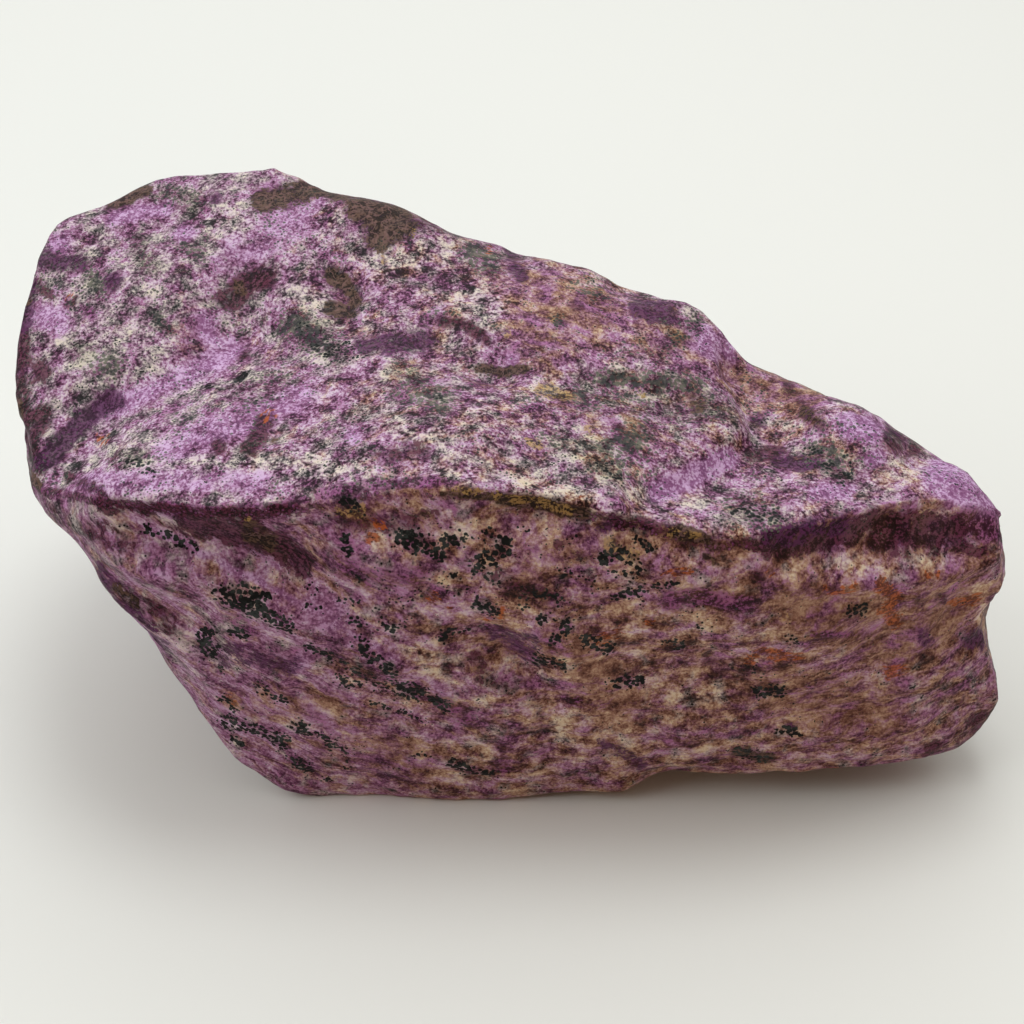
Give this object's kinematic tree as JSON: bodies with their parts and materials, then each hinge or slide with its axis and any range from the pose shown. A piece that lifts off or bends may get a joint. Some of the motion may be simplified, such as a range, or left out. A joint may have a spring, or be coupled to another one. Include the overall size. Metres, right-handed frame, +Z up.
{
  "type": "rough stichtite",
  "caption": "Rough lump of purple stichtite, a mottled upper face above a streaked, speckled front, lying on a small flat spot, for display or for cutting.",
  "frame": {"origin": "middle of the stone's plan, in the plane of the surface that it rests on", "axes": "+X along the stone's length, towards its narrow nose; +Y away from the streaked front face; +Z up"},
  "size_m": [0.1018, 0.0564, 0.0461],
  "materials": {
    "stichtite": "waxy, naturally broken"
  },
  "bodies": {
    "root": {"stone": "stichtite"}
  },
  "joints": []
}
